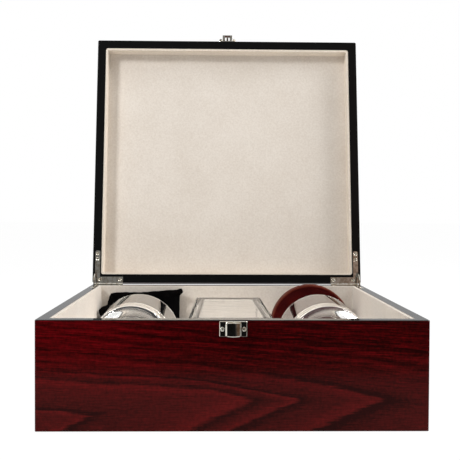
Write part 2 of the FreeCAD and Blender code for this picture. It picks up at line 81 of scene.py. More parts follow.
def wire(tree, kind, feeds=(), **settings):
    """Adds a shader node, sets it up and feeds its sockets with links or values."""
    made = tree.nodes.new("ShaderNode" + kind)
    for key, value in settings.items():
        setattr(made, key, value)
    for socket, value in dict(feeds).items():
        if isinstance(value, bpy.types.NodeSocket):
            tree.links.new(value, made.inputs[socket])
        else:
            made.inputs[socket].default_value = value
    return made


def calc(tree, operation, first, second=0.0, third=0.0):
    return wire(tree, "Math", {0: first, 1: second, 2: third}, operation=operation).outputs[0]


def fade(tree, value, low, high):
    """0 below low, 1 above high, smooth between; low may be the larger."""
    made = wire(tree, "MapRange", {"Value": value, "From Min": low, "From Max": high},
                interpolation_type="SMOOTHSTEP", clamp=True)
    return made.outputs["Result"]


def blend_colors(tree, share, first, second):
    return wire(tree, "Mix", {0: share, 6: first, 7: second}, data_type="RGBA").outputs[2]


def blend_values(tree, share, first, second):
    return wire(tree, "Mix", {0: share, 2: first, 3: second}, data_type="FLOAT").outputs[0]


def stretched(tree, vector, scale):
    made = wire(tree, "VectorMath", {0: vector, 1: scale}, operation="MULTIPLY")
    return made.outputs["Vector"]


def noise(tree, vector, scale=1.0, detail=2.0, roughness=0.5, dimensions="3D", output="Fac"):
    feeds = {"Scale": scale, "Detail": detail, "Roughness": roughness}
    feeds["W" if dimensions == "1D" else "Vector"] = vector
    return wire(tree, "TexNoise", feeds, noise_dimensions=dimensions).outputs[output]


def shades(tree, value, stops):
    made = wire(tree, "ValToRGB", {"Fac": value})
    ramp = made.color_ramp
    while len(ramp.elements) < len(stops):
        ramp.elements.new(1.0)
    for element, (place, color) in zip(ramp.elements, stops):
        element.position = place
        element.color = (*color, 1.0)
    return made.outputs["Color"]


def pattern_group(name, inputs, outputs):
    """A shader node group with named inputs (name, kind, default) and outputs (name, kind)."""
    group = bpy.data.node_groups.new(name, "ShaderNodeTree")
    for label, kind, default in inputs:
        socket = group.interface.new_socket(label, in_out="INPUT", socket_type="NodeSocket" + kind)
        if default is not None:
            socket.default_value = default
    for label, kind in outputs:
        group.interface.new_socket(label, in_out="OUTPUT", socket_type="NodeSocket" + kind)
    entry = group.nodes.new("NodeGroupInput")
    leave = group.nodes.new("NodeGroupOutput")
    return group, entry.outputs, leave.inputs


def use_group(tree, group, feeds):
    made = tree.nodes.new("ShaderNodeGroup")
    made.node_tree = group
    for socket, value in feeds.items():
        if isinstance(value, bpy.types.NodeSocket):
            tree.links.new(value, made.inputs[socket])
        else:
            made.inputs[socket].default_value = value
    return made.outputs


def new_material(name, **constants):
    """A material with one Principled shader; constants go straight onto its sockets."""
    material = bpy.data.materials.new(name)
    material.use_nodes = True
    tree = material.node_tree
    shader = tree.nodes["Principled BSDF"]
    for label, value in constants.items():
        shader.inputs[label.replace("_", " ")].default_value = value
    return material, tree, shader


def object_place(tree, location=(0, 0, 0), rotation=(0, 0, 0)):
    coords = wire(tree, "TexCoord")
    feeds = {"Vector": coords.outputs["Object"], "Location": location, "Rotation": rotation}
    return wire(tree, "Mapping", feeds).outputs["Vector"]


def bumped(tree, height, strength, distance, shader):
    bump = wire(tree, "Bump", {"Height": height, "Strength": strength, "Distance": distance})
    tree.links.new(bump.outputs["Normal"], shader.inputs["Normal"])


# Pattern groups

# Tone along one run of arches, from their inside out: pale bands, each with a dark line after it
ARCH_TONES = (
    (0.0, 0.50), (0.15, 0.58), (0.185, 0.74), (0.205, 0.14), (0.235, 0.42), (0.35, 0.50),
    (0.45, 0.56), (0.545, 0.74), (0.57, 0.22), (0.595, 0.42), (0.625, 0.60), (0.645, 0.76),
    (0.662, 0.18), (0.70, 0.42), (0.76, 0.52), (0.83, 0.70), (0.85, 0.10), (0.89, 0.34),
    (0.94, 0.46), (1.0, 0.5))
LOW_REDS = [
    (0.22, (0.024, 0.0036, 0.0032)), (0.38, (0.046, 0.0052, 0.0044)),
    (0.50, (0.063, 0.0062, 0.0054)), (0.64, (0.090, 0.0072, 0.0066)),
    (0.80, (0.125, 0.0084, 0.0078))]
HIGH_REDS = [
    (0.24, (0.014, 0.0004, 0.0006)), (0.38, (0.028, 0.0005, 0.0008)),
    (0.50, (0.048, 0.0006, 0.0012)), (0.64, (0.080, 0.0008, 0.0018)),
    (0.82, (0.125, 0.0012, 0.0030))]


def build_rosewood_group():
    """Veneer figure, and painted light that makes its upper part paler left of Tip. Streaks run
    along X; pointed arches lie about X = Tip and close on the line Y = Heart. Sway is the slope by
    which the heart line sinks towards the left."""
    group, given, out = pattern_group(
        "rosewood_figure_painted_light",
        [("Vector", "Vector", None), ("Heart", "Float", 0.028), ("Tip", "Float", 0.0),
         ("Sway", "Float", 0.0), ("Seed", "Float", 0.0), ("Red Low", "Float", 0.02),
         ("Red High", "Float", 0.085)],
        [("Color", "Color"), ("Pores", "Float")])
    parts = wire(group, "SeparateXYZ", {"Vector": given["Vector"]}).outputs
    along = calc(group, "SUBTRACT", parts["X"], given["Tip"])
    seeded = calc(group, "ADD", parts["X"], given["Seed"])
    flat = wire(group, "CombineXYZ", {"X": seeded, "Y": parts["Y"], "Z": given["Seed"]})
    flat = flat.outputs["Vector"]
    height = fade(group, parts["Y"], given["Red Low"], given["Red High"])
    drift = noise(group, stretched(group, flat, (7.0, 16.0, 1.0)), detail=2.0)
    jagged = noise(group, stretched(group, flat, (30.0, 520.0, 1.0)), detail=2.0)
    sink = calc(group, "MAXIMUM", calc(group, "SUBTRACT", -0.03, along), 0.0)
    sink = calc(group, "MULTIPLY", sink, given["Sway"])
    sink = calc(group, "MULTIPLY", sink, calc(group, "MULTIPLY_ADD", height, -1.0, 1.0))
    off = calc(group, "ADD", calc(group, "SUBTRACT", parts["Y"], given["Heart"]), sink)
    off = calc(group, "ADD", off, calc(group, "MULTIPLY_ADD", drift, 0.010, -0.005))
    blunt = calc(group, "SQRT", calc(group, "MULTIPLY_ADD", off, off, 0.000003))
    flank = calc(group, "MULTIPLY_ADD", fade(group, off, -0.003, 0.003), 2.9, 2.3)
    reach = calc(group, "MULTIPLY_ADD", height, -0.55, 1.0)
    contour = calc(group, "MULTIPLY_ADD", blunt, flank, calc(group, "MULTIPLY", along, reach))
    contour = calc(group, "ADD", contour, calc(group, "MULTIPLY_ADD", jagged, 0.020, -0.010))
    rings = noise(group, calc(group, "ADD", contour, given["Seed"]), scale=55.0, detail=3.0,
                  roughness=0.65, dimensions="1D")
    run = wire(group, "MapRange", {"Value": contour, "From Min": -0.2, "From Max": 0.2})
    arches = shades(group, run.outputs["Result"],
                    [(place, (tone,) * 3) for place, tone in ARCH_TONES])
    leaning = calc(group, "MULTIPLY_ADD", contour, 0.19, parts["Y"])
    lean = wire(group, "CombineXYZ", {"X": seeded, "Y": leaning, "Z": given["Seed"]})
    lean = lean.outputs["Vector"]
    streaks = noise(group, stretched(group, lean, (22.0, 260.0, 1.0)), detail=4.0, roughness=0.72)
    fibre = noise(group, stretched(group, flat, (70.0, 1200.0, 1.0)), detail=2.0, roughness=0.6)
    flecks = noise(group, stretched(group, flat, (380.0, 300.0, 1.0)), detail=1.0)
    # Painted light: on the upper part the tone rises left of Tip, a painted pool of light falling
    # from the left.
    lit = calc(group, "MULTIPLY", fade(group, along, 0.0, -0.13), height)
    upper = calc(group, "MULTIPLY_ADD", height, 0.85, 0.15)
    tone = calc(group, "MULTIPLY_ADD", lit, 0.17, calc(group, "MULTIPLY_ADD", height, -0.06, 0.50))
    for layer, weight in ((arches, calc(group, "MULTIPLY_ADD", height, -0.85, 1.0)),
                          (rings, calc(group, "MULTIPLY", upper, 0.75)),
                          (streaks, calc(group, "MULTIPLY", upper, 1.25)),
                          (fibre, 0.62), (flecks, 0.36)):
        tone = calc(group, "MULTIPLY_ADD", calc(group, "SUBTRACT", layer, 0.5), weight, tone)
    color = blend_colors(group, height, shades(group, tone, LOW_REDS),
                         shades(group, tone, HIGH_REDS))
    pores = noise(group, stretched(group, flat, (60.0, 1700.0, 1.0)), detail=1.0)
    pore_mask = fade(group, pores, 0.60, 0.72)
    color = blend_colors(group, calc(group, "MULTIPLY", pore_mask, 0.40), color, DARK_PORE)
    group.links.new(color, out["Color"])
    group.links.new(pore_mask, out["Pores"])
    return group


def build_nap_group():
    """Suede cloth: short fibres that lie in soft patches."""
    group, given, out = pattern_group(
        "suede_nap",
        [("Vector", "Vector", None), ("Pale", "Color", (0.8, 0.7, 0.6, 1)),
         ("Shade", "Color", (0.6, 0.5, 0.4, 1))],
        [("Color", "Color"), ("Height", "Float")])
    patches = noise(group, stretched(group, given["Vector"], (22.0, 22.0, 22.0)), detail=3.0)
    mottle = noise(group, stretched(group, given["Vector"], (420.0, 420.0, 420.0)), detail=2.0,
                   roughness=0.6)
    fibres = noise(group, stretched(group, given["Vector"], (1500.0, 1500.0, 900.0)), detail=2.0)
    mix = calc(group, "MULTIPLY_ADD", patches, 0.35, calc(group, "MULTIPLY", mottle, 0.65))
    share = fade(group, mix, 0.25, 0.75)
    group.links.new(blend_colors(group, share, given["Shade"], given["Pale"]), out["Color"])
    height = calc(group, "MULTIPLY_ADD", mottle, 0.7, calc(group, "MULTIPLY", fibres, 0.3))
    group.links.new(height, out["Height"])
    return group


def build_wear_group():
    """Handling marks on polished metal: faint smudges and fine brush lines."""
    group, given, out = pattern_group(
        "polish_marks",
        [("Vector", "Vector", None), ("Smooth", "Float", 0.12), ("Worn", "Float", 0.3)],
        [("Roughness", "Float"), ("Height", "Float"), ("Tint", "Float")])
    smudge = noise(group, stretched(group, given["Vector"], (260.0, 260.0, 260.0)), detail=3.0)
    brush = noise(group, stretched(group, given["Vector"], (300.0, 2600.0, 2600.0)), detail=2.0)
    spread = calc(group, "SUBTRACT", given["Worn"], given["Smooth"])
    rough = calc(group, "MULTIPLY_ADD", fade(group, smudge, 0.35, 0.7), spread, given["Smooth"])
    group.links.new(rough, out["Roughness"])
    group.links.new(brush, out["Height"])
    group.links.new(smudge, out["Tint"])
    return group


def build_hide_group():
    """Leather: rounded pebbles with creases between them."""
    group, given, out = pattern_group(
        "hide_grain", [("Vector", "Vector", None), ("Size", "Float", 900.0)],
        [("Height", "Float"), ("Mottle", "Float")])
    warp = noise(group, stretched(group, given["Vector"], (300.0, 300.0, 300.0)), detail=2.0,
                 output="Color")
    bend = (0.0012, 0.0012, 0.0012)
    bent = wire(group, "VectorMath", {0: warp, 1: bend, 2: given["Vector"]},
                operation="MULTIPLY_ADD")
    cells = wire(group, "TexVoronoi", {"Vector": bent.outputs["Vector"], "Scale": given["Size"]},
                 feature="F1")
    creases = fade(group, cells.outputs["Distance"], 0.75, 0.25)
    mottle = noise(group, stretched(group, given["Vector"], (60.0, 60.0, 60.0)), detail=3.0)
    group.links.new(creases, out["Height"])
    group.links.new(mottle, out["Mottle"])
    return group


rosewood = build_rosewood_group()
nap = build_nap_group()
polish = build_wear_group()
hide = build_hide_group()


# Materials. SHUT brings the open lid's places back to those of the shut lid. The rims are the
# heights where veneer ends and where the black lacquer is full.

SHUT = {"rotation": (LID_ANGLE, 0, 0),
        "location": tuple(HINGE_AXIS - Matrix.Rotation(LID_ANGLE, 3, "X") @ HINGE_AXIS)}
CASE_RIM = (0.0991, 0.0994)
LID_RIM = (0.1013, 0.1010)


def veneer(name, across, seed, heart, sway=0.0, lid=False, inner=None):
    """Lacquered veneer with black lacquered rims. across: the axes that the grain and the width
    follow; inner: axis and reach of the wall's inner face, where cloth is glued over the edge."""
    material, tree, shader = new_material(name, Coat_Roughness=0.05, Coat_IOR=1.5,
                                          Specular_IOR_Level=0.02)
    place = object_place(tree, **(SHUT if lid else {}))
    parts = wire(tree, "SeparateXYZ", {"Vector": place}).outputs
    face = wire(tree, "CombineXYZ", {"X": parts[across[0]], "Y": parts[across[1]]})
    figure = use_group(tree, rosewood, {"Vector": face.outputs["Vector"], "Heart": heart,
                                        "Sway": sway, "Seed": seed})
    rim = fade(tree, parts["Z"], *(LID_RIM if lid else CASE_RIM))
    color = blend_colors(tree, rim, figure["Color"], BLACK_LACQUER)
    if inner:
        cloth = calc(tree, "MULTIPLY", rim, fade(tree, parts[inner[0]], *inner[1]))
        color = blend_colors(tree, cloth, color, GLUED_CLOTH)
        rim = calc(tree, "SUBTRACT", rim, cloth)
    tree.links.new(color, shader.inputs["Base Color"])
    gloss = calc(tree, "MULTIPLY_ADD", rim, 0.22 if lid else 0.90, 0.065)
    tree.links.new(gloss, shader.inputs["Coat Weight"])
    rough = calc(tree, "MULTIPLY_ADD", figure["Pores"], 0.12, 0.34)
    tree.links.new(rough, shader.inputs["Roughness"])
    bumped(tree, calc(tree, "SUBTRACT", 1.0, figure["Pores"]), 0.05, 0.00005, shader)
    return material


def suede(name, pale, shade):
    material, tree, shader = new_material(name, Roughness=0.95, Sheen_Weight=0.25,
                                          Sheen_Roughness=0.5, Specular_IOR_Level=0.1)
    made = use_group(tree, nap, {"Vector": object_place(tree), "Pale": (*pale, 1.0),
                                 "Shade": (*shade, 1.0)})
    tree.links.new(made["Color"], shader.inputs["Base Color"])
    bumped(tree, made["Height"], 0.5, 0.0003, shader)
    return material


def nickel(name, color, smooth, worn):
    material, tree, shader = new_material(name, Metallic=1.0)
    made = use_group(tree, polish, {"Vector": object_place(tree), "Smooth": smooth, "Worn": worn})
    dull = tuple(c * share for c, share in zip(color, (0.72, 0.66, 0.58)))
    tint = blend_colors(tree, fade(tree, made["Tint"], 0.4, 0.7), (*color, 1.0), (*dull, 1.0))
    tree.links.new(tint, shader.inputs["Base Color"])
    tree.links.new(made["Roughness"], shader.inputs["Roughness"])
    bumped(tree, made["Height"], 0.06, 0.00005, shader)
    return material


def clear_glass(name, wave=0.0, fall=0.0, color=CLEAR):
    """wave: how uneven moulded faces are; fall: how much they slope towards the front."""
    material, tree, shader = new_material(name, Roughness=0.0, IOR=1.5, Transmission_Weight=1.0)
    place = object_place(tree)
    faint = noise(tree, stretched(tree, place, (18.0, 18.0, 18.0)), detail=1.0)
    color = blend_colors(tree, faint, (*color, 1.0), (*(min(1.0, c * 1.01) for c in color), 1.0))
    tree.links.new(color, shader.inputs["Base Color"])
    shadow = wire(tree, "LightPath").outputs["Is Shadow Ray"]
    tree.links.new(calc(tree, "MULTIPLY_ADD", shadow, -0.88, 1.0), shader.inputs["Alpha"])
    if wave or fall:
        swell = noise(tree, stretched(tree, place, (26.0, 34.0, 26.0)), detail=1.5)
        back = wire(tree, "SeparateXYZ", {"Vector": place}).outputs["Y"]
        height = calc(tree, "MULTIPLY_ADD", swell, wave, calc(tree, "MULTIPLY", back, fall))
        bumped(tree, height, 1.0, 1.0, shader)
    else:
        bumped(tree, faint, 0.02, 0.0004, shader)
    return material


def velvet(name):
    material, tree, shader = new_material(name, Roughness=1.0, Sheen_Weight=0.008,
                                          Sheen_Roughness=0.5, Specular_IOR_Level=0.01)
    place = object_place(tree)
    pile = noise(tree, stretched(tree, place, (1200.0, 1200.0, 1200.0)), detail=2.0)
    patches = noise(tree, stretched(tree, place, (40.0, 40.0, 40.0)), detail=2.0)
    color = blend_colors(tree, fade(tree, patches, 0.35, 0.7), (0.0012, 0.0011, 0.0011, 1.0),
                         (0.0035, 0.003, 0.003, 1.0))
    tree.links.new(color, shader.inputs["Base Color"])
    bumped(tree, pile, 0.6, 0.0004, shader)
    return material


def leather(name, color, light, grain, rough):
    material, tree, shader = new_material(name, Specular_IOR_Level=0.05)
    made = use_group(tree, hide, {"Vector": object_place(tree), "Size": grain})
    tint = blend_colors(tree, fade(tree, made["Mottle"], 0.3, 0.7), (*color, 1.0), (*light, 1.0))
    # Painted shade: the creases between the pebbles are darkened towards a deeper tone of the
    # leather.
    crease = (*(c * 0.4 for c in color), 1.0)
    tint = blend_colors(tree, calc(tree, "MULTIPLY", made["Height"], 0.25), tint, crease)
    tree.links.new(tint, shader.inputs["Base Color"])
    rough = calc(tree, "MULTIPLY_ADD", made["Height"], 0.15, rough)
    tree.links.new(rough, shader.inputs["Roughness"])
    bumped(tree, calc(tree, "SUBTRACT", 1.0, made["Height"]), 0.35, 0.00015, shader)
    return material


def baize(name):
    material, tree, shader = new_material(name, Roughness=1.0, Sheen_Weight=0.3)
    made = use_group(tree, nap, {"Vector": object_place(tree), "Pale": (0.02, 0.02, 0.02, 1),
                                 "Shade": (0.006, 0.006, 0.006, 1)})
    tree.links.new(made["Color"], shader.inputs["Base Color"])
    bumped(tree, made["Height"], 0.8, 0.0005, shader)
    return material


def raw_board(name):
    material, tree, shader = new_material(name, Roughness=0.85)
    specks = noise(tree, stretched(tree, object_place(tree), (500.0, 500.0, 500.0)), detail=3.0)
    color = shades(tree, specks, [(0.3, (0.22, 0.14, 0.08)), (0.7, (0.42, 0.30, 0.19))])
    tree.links.new(color, shader.inputs["Base Color"])
    bumped(tree, specks, 0.3, 0.0002, shader)
    return material


# Mesh helpers

NEAR = 0.00004


def spun_profile(points, steps):
    """A profile of (radius, height) points turned once about Z."""
    bm = bmesh.new()
    verts = [bm.verts.new((radius * MM, 0, height * MM)) for radius, height in points]
    edges = [bm.edges.new(pair) for pair in zip(verts, verts[1:])]
    bmesh.ops.spin(bm, geom=verts + edges, axis=(0, 0, 1), cent=(0, 0, 0), steps=steps,
                   angle=math.tau, use_merge=True)
    bmesh.ops.remove_doubles(bm, verts=bm.verts, dist=0.00001)
    bmesh.ops.recalc_face_normals(bm, faces=bm.faces)
    return bm


def ring_edges(bm, radius, z):
    """Edges of a round ring about Z, before the piece is laid in its place."""
    def on_ring(vert):
        return abs(vert.co.z - z) < NEAR and abs(math.hypot(vert.co.x, vert.co.y) - radius) < NEAR
    return [edge for edge in bm.edges if all(on_ring(vert) for vert in edge.verts)]


def level_edges(bm, z):
    """Edges of the loop that lies at one height."""
    return [edge for edge in bm.edges if all(abs(vert.co.z - z) < NEAR for vert in edge.verts)]


def round_off(bm, edges, radius, segments):
    bmesh.ops.bevel(bm, geom=edges, offset=radius, segments=segments, profile=0.5,
                    affect="EDGES", material=-1, clamp_overlap=True)


def make_piece(name, bm, body, materials, stands_for=(), sharp=None, weighted=False):
    mesh = bpy.data.meshes.new(name)
    bm.to_mesh(mesh)
    bm.free()
    for material in materials:
        mesh.materials.append(material)
    piece = bpy.data.objects.new(name, mesh)
    bpy.context.scene.collection.objects.link(piece)
    for polygon in mesh.polygons:
        polygon.use_smooth = True
    if sharp is not None:
        mesh.set_sharp_from_angle(angle=math.radians(sharp))
    if weighted:
        piece.modifiers.new("weighted normals", "WEIGHTED_NORMAL").keep_sharp = True
    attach(piece, body)
    if stands_for:
        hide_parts(*stands_for)
    return piece


def merged_copy(node):
    """A clean copy of a CAD node: its loose triangles joined and its flat faces made whole."""
    bm = bmesh.new()
    bm.from_mesh(nodes[node].data)
    bmesh.ops.remove_doubles(bm, verts=bm.verts, dist=0.000004)
    bmesh.ops.dissolve_limit(bm, angle_limit=math.radians(1.0), verts=bm.verts, edges=bm.edges)
    bmesh.ops.recalc_face_normals(bm, faces=bm.faces)
    return bm


# Catch and keeper

EAR_INNER, EAR_OUTER, EAR_RADIUS = 4.6, 5.6, 1.2
CORNER_STEPS = 7
SIDE_SPANS = (0.8, 0.6, 0.4, 0.2, 0, -0.2, -0.4, -0.6, -0.8)
UPPER_POINTS = 2 * CORNER_STEPS + len(SIDE_SPANS)


def outline(half, low, high, corner, sides=0.0, ends=0.0, bow=0.0):
    """Points of a rounded rectangle in X and Z, set in from its sides and ends; bow lets the lower
    side sag. The upper side's points come first, from right to left, and then the lower side's
    from left to right."""
    points = []
    radius = max(corner - max(sides, ends), 0.1)
    reach = half - sides - radius
    for side_x, side_z, first in ((1, 1, 0), (-1, 1, 90), (-1, -1, 180), (1, -1, 270)):
        middle = (high - ends - radius) if side_z > 0 else (low + ends + radius)
        for step in range(CORNER_STEPS):
            turn = math.radians(first + 90 * step / (CORNER_STEPS - 1))
            points.append([side_x * reach + radius * math.cos(turn),
                           middle + radius * math.sin(turn)])
        if side_x * side_z > 0:
            edge = high - ends if side_z > 0 else low + ends
            points += [[side_z * reach * span, edge] for span in SIDE_SPANS]
    for point in points:
        if point[1] < (low + high) / 2:
            point[1] -= bow * (1 - min(1.0, abs(point[0]) / half) ** 2)
    return points


def stack_rows(rows):
    """A closed skin through rows of outline points, each row at its own depth, which may vary along
    the row. The first and the last row close in strips between their upper and lower side."""
    bm = bmesh.new()
    rings = []
    for points, depth in rows:
        rings.append([bm.verts.new(Vector((x, depth(x) if callable(depth) else depth, z)) * MM)
                      for x, z in points])
    for low, high in zip(rings, rings[1:]):
        for corners in zip(low, low[1:] + low[:1], high[1:] + high[:1], high):
            bm.faces.new(corners)
    for ring in (rings[0], rings[-1]):
        upper, lower = ring[:UPPER_POINTS], ring[UPPER_POINTS:][::-1]
        for corners in zip(upper, upper[1:], lower[1:], lower):
            bm.faces.new(corners)
    bmesh.ops.recalc_face_normals(bm, faces=bm.faces)
    return bm


def add_box(bm, corners_low, corners_high):
    """A box between two corners in millimetres."""
    made = bmesh.ops.create_cube(bm, size=1.0)["verts"]
    low, high = Vector(corners_low), Vector(corners_high)
    for vert in made:
        vert.co = Vector(high[i] if vert.co[i] > 0 else low[i] for i in range(3)) * MM
    return made


def build_catch_plate(metal):
    """The plate of the catch: a wide bevel round its front, and the two ears that hold the pin."""
    def row(inset):
        return outline(12.25, 85.25, 99.1, 0.75, inset, inset)

    bm = stack_rows([(row(0), CASE_FRONT), (row(0), CASE_FRONT - 0.5),
                     (row(0.55), CASE_FRONT - 1.0)])
    for side in (-1, 1):
        low, high = sorted((side * EAR_INNER, side * EAR_OUTER))
        ear = add_box(bm, (low, CASE_FRONT - 3.9, CATCH_PIN_Z - EAR_RADIUS),
                      (high, CASE_FRONT - 0.9, CATCH_PIN_Z + EAR_RADIUS))
        nose = [e for e in {e for v in ear for e in v.link_edges}
                if all(v.co.y < (CASE_FRONT - 3.5) * MM for v in e.verts)
                and abs(e.verts[0].co.x - e.verts[1].co.x) > 0.1 * MM]
        round_off(bm, nose, EAR_RADIUS * 0.9 * MM, 4)
    return make_piece("catch_plate_eased", bm, "case", [metal], ["catch_plate"], sharp=30)


def build_lever(metal):
    """The catch lever: a hollow shell with a bulging face, wide bevels, a lower edge that sags, a
    pointed nib and the hook behind it."""
    half, front, back = 7.0, -172.0, -166.3
    walls, wall = (97.4, 86.1), 1.0
    face, sag = (98.8, 86.5), 0.7

    def row(ends_at, sides=0.0, ends=0.0, bow=0.0):
        return outline(half, ends_at[1], ends_at[0], 0.6, sides, ends, bow)

    def bulging(x):
        return front + 0.011 * x * x

    def bevelled(x):
        return bulging(x) + 0.64 + 0.22 * (x / half) ** 8

    bm = stack_rows([(row(walls, wall, wall), front + 1.1), (row(walls, wall, wall), back),
                     (row(walls), back), (row(walls), front + 1.7),
                     (row(face, bow=sag), bevelled), (row(face, 1.35, 0.85, sag), bulging)])
    nib = add_box(bm, (-1.7, front, 98.0), (1.7, front + 1.3, 100.0))
    for vert in nib:
        x, y, z = (c / MM for c in vert.co)
        if z > 99:
            vert.co = Vector((x * 0.4, max(y, front + 1.2), z)) * MM
    add_box(bm, (-0.7, front + 1.0, 99.1), (0.7, front + 2.3, 99.95))
    return make_piece("catch_lever_eased", bm, "catch_lever", [metal], ["catch_lever"],
                      sharp=25)


def build_keeper(metal):
    """The keeper with eased edges. Its two legs are as wide as they look from the front."""
    bm = merged_copy("keeper")
    leg_inside, wider_leg_inside = 4.4, 3.2
    for vert in bm.verts:
        if abs(abs(vert.co.x) - leg_inside * MM) < 0.1 * MM:
            vert.co.x = math.copysign(wider_leg_inside * MM, vert.co.x)
    sharp = [e for e in bm.edges if e.is_manifold and e.calc_face_angle(0) > math.radians(40)]
    round_off(bm, sharp, 0.00025, 2)
    return make_piece("keeper_eased", bm, "lid", [metal], ["keeper"],
                      sharp=35, weighted=True)


# Screws: profiles of (radius, height) in millimetres, from the head's middle to the shank's end

SUNK_HEAD = [(0, -0.75), (0.5, -0.70), (0.8, -0.42), (1.5, -0.36), (1.75, -0.28), (2.25, 0.04),
             (2.4, -0.04), (2.4, -0.4), (0.9, -1.3), (0.9, -4), (0, -4)]
PAN_HEAD = [(0, 0.30), (0.45, 0.30), (0.60, 0.62), (1.0, 0.58), (1.4, 0.48), (1.8, 0.33),
            (2.0, 0.22), (2.12, -0.1), (0.9, -0.6), (0.9, -4), (0, -4)]
ROUND_HEAD = [(0, 3.5), (0.45, 3.45), (0.60, 4.0), (1.0, 3.85), (1.4, 3.5), (1.8, 2.9), (2.05, 2.1),
              (2.12, 1.2), (2.12, -0.1), (0.9, -0.6), (0.9, -4), (0, -4)]


def build_screws(name, node, body, head, places, face, metal):
    """Cross-head screws at one node's places; face turns a head's top from +Z to where it looks."""
    cross_reach, cross_half_width, cross_depth = 1.6 * MM, 0.28 * MM, 0.35 * MM
    one = spun_profile(head, 32)
    for vert in one.verts:
        reach = math.hypot(vert.co.x, vert.co.y)
        aside = min(abs(vert.co.x), abs(vert.co.y))
        if vert.co.z > -0.001 and reach < cross_reach and aside < cross_half_width:
            vert.co.z -= cross_depth
    template = bpy.data.meshes.new(name + "_one")
    one.to_mesh(template)
    one.free()
    bm = bmesh.new()
    for index, place in enumerate(places):
        before = len(bm.verts)
        bm.from_mesh(template)
        bm.verts.ensure_lookup_table()
        turned = Matrix.Rotation(0.6 + 1.1 * index, 4, "Z")
        lay = Matrix.Translation(Vector(place) * MM) @ face @ turned
        bmesh.ops.transform(bm, matrix=lay, verts=bm.verts[before:])
    bpy.data.meshes.remove(template)
    return make_piece(name, bm, body, [metal], [node], sharp=30)


def build_all_screws(metal, keeper_metal_painted_shade):
    sides = [(168.6, 126.0), (168.6, 133.0), (139.4, 160.1), (164.8, 160.1)]
    both = [(x * side, y) for side in (-1, 1) for x, y in sides]
    front = Matrix.Rotation(math.radians(90), 4, "X")
    open_lid = Matrix.Translation(HINGE_AXIS) @ Matrix.Rotation(-LID_ANGLE, 4, "X")
    open_lid = open_lid @ Matrix.Translation(-HINGE_AXIS)
    under = Matrix.Rotation(math.radians(180), 4, "X")

    def with_lid(x, y, z):
        return tuple(open_lid @ (Vector((x, y, z)) * MM) / MM)

    lid_turn = open_lid.to_3x3().to_4x4()
    build_screws("screws_hinge_case", "hinge_case_screws", "case", SUNK_HEAD,
                 [(x, y, 100.0) for x, y in both if abs(x) != 164.8], Matrix.Identity(4), metal)
    build_screws("screws_hinge_lid", "hinge_lid_screws", "lid", SUNK_HEAD,
                 [with_lid(x, y, 100.3) for x, y in both], lid_turn @ under, metal)
    build_screws("screws_catch", "catch_screws", "case", PAN_HEAD,
                 [(x, CASE_FRONT - 1.0, 92.0) for x in (-9.6, 9.6)], front, metal)
    # The keeper's screws take the darker nickel, a painted shade.
    build_screws("screws_keeper", "keeper_screws", "lid", ROUND_HEAD,
                 [with_lid(x, CASE_FRONT - 1.0, 105.1) for x in (-9.0, 9.0)], lid_turn @ front,
                 keeper_metal_painted_shade)


# Glass

def build_tumbler(side, sign, glass):
    """A tumbler that narrows a little towards its base. Loops beside each rounding keep the shading
    even."""
    outer, bore, base, length = 46, 43.4, 10, 92
    bm = spun_profile([(0, 1.5), (30, 1.2), (36, 0.4), (38, 0), (39.5, 0), (outer, 0), (outer, 6.3),
                       (outer, 20), (outer, 60), (outer, 90.4), (outer, length), (bore, length),
                       (bore, 90.4), (bore, 60), (bore, 24.3), (bore, base), (29.1, base),
                       (0, base)], 128)
    round_off(bm, ring_edges(bm, outer * MM, 0), 0.006, 8)
    round_off(bm, ring_edges(bm, bore * MM, base * MM), 0.014, 10)
    mouth = ring_edges(bm, outer * MM, length * MM) + ring_edges(bm, bore * MM, length * MM)
    round_off(bm, mouth, 0.0011, 4)
    for vert in bm.verts:
        narrow = 1 - 0.045 * (1 - min(1.0, vert.co.z / (length * MM)))
        vert.co.x *= narrow
        vert.co.y *= narrow
    place = Matrix.Translation(Vector((sign * TUMBLER_X, TUMBLER_FRONT, TUMBLER_Z)) * MM)
    lying = Matrix.Rotation(math.radians(-90), 4, "X")
    bmesh.ops.transform(bm, matrix=place @ lying, verts=bm.verts)
    return make_piece("tumbler_glass_" + side, bm, "tumbler_" + side, [glass],
                      ["tumbler_" + side], sharp=50)


def square_block(half_low, half_high, low, high, corner, segments):
    """A block with rounded upright corners. A layer keeps each point's place on the unit square."""
    bm = bmesh.new()
    bmesh.ops.create_cube(bm, size=2.0)
    for vert in bm.verts:
        half = half_high if vert.co.z > 0 else half_low
        vert.co = Vector((vert.co.x * half, vert.co.y * half, high if vert.co.z > 0 else low))
    upright = [e for e in bm.edges if abs(e.verts[0].co.z - e.verts[1].co.z) > (high - low) / 2]
    round_off(bm, upright, corner, segments)
    unit = bm.verts.layers.float_vector.new("unit_square")
    for vert in bm.verts:
        half = half_high if vert.co.z > (low + high) / 2 else half_low
        vert[unit] = Vector((vert.co.x / half, vert.co.y / half, 0))
    return bm, unit


def end_face(bm, top=True):
    def rank(face):
        return face.calc_center_median().z * (1 if abs(face.normal.z) > 0.9 else 0.001)
    return (max if top else min)(bm.faces, key=rank)


def pull(bm, face, place):
    """Extrudes a face and puts each of its points where place says."""
    face = bmesh.ops.extrude_discrete_faces(bm, faces=[face])["faces"][0]
    for vert in face.verts:
        vert.co = place(vert)
    return face


def square_at(unit, half, z):
    return lambda vert: Vector((vert[unit].x * half, vert[unit].y * half, z))


def circle_at(unit, radius, z):
    def place(vert):
        flat = Vector((vert[unit].x, vert[unit].y, 0)).normalized() * radius
        return Vector((flat.x, flat.y, z))
    return place


def lay_down(bm):
    lying = Matrix.Rotation(math.radians(90) + DECANTER_LEAN, 4, "X")
    bmesh.ops.transform(bm, matrix=Matrix.Translation(DECANTER_FOOT) @ lying, verts=bm.verts)


